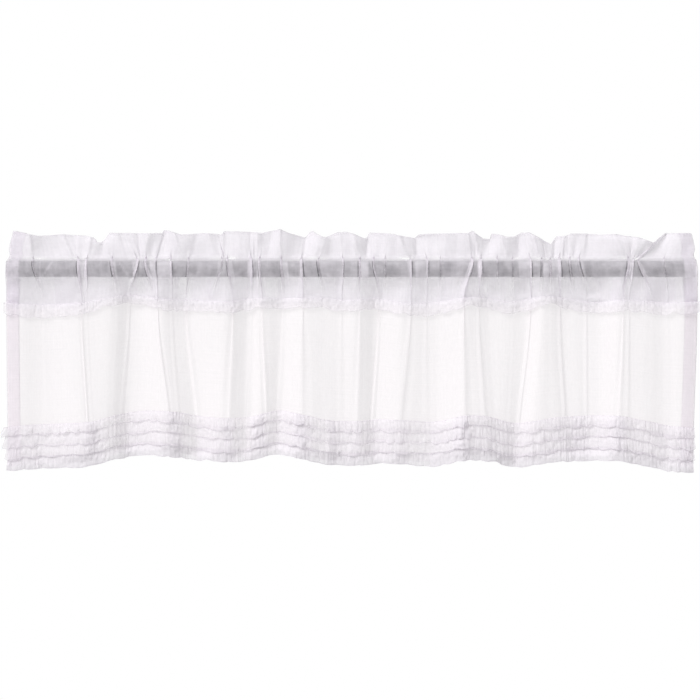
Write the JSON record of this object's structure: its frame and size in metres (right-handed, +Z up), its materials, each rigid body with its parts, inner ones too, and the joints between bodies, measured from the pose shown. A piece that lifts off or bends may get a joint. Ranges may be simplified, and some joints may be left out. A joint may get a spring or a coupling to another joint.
{
  "type": "window valance on a curtain rod",
  "caption": "Sheer gathered window valance with a standing header, a ruffle below its rod pocket and tiers of ruffles at its hem, on a plain round rod.",
  "frame": {"origin": "on the rod's axis, halfway along it", "axes": "+X along the rod to the viewer's right, the cloth's front faces -Y, +Z up"},
  "size_m": [1.22, 0.0623, 0.4244],
  "materials": {
    "rod": "satin",
    "valance_cloth": "matte",
    "pocket_ruffle": "matte",
    "hem_ruffle_1": "matte",
    "hem_ruffle_2": "matte",
    "hem_ruffle_3": "matte",
    "hem_ruffle_4": "matte"
  },
  "bodies": {
    "root": {"rod": "rod", "valance_cloth": "valance_cloth", "pocket_ruffle": "pocket_ruffle", "hem_ruffle_1": "hem_ruffle_1", "hem_ruffle_2": "hem_ruffle_2", "hem_ruffle_3": "hem_ruffle_3", "hem_ruffle_4": "hem_ruffle_4"}
  },
  "joints": []
}
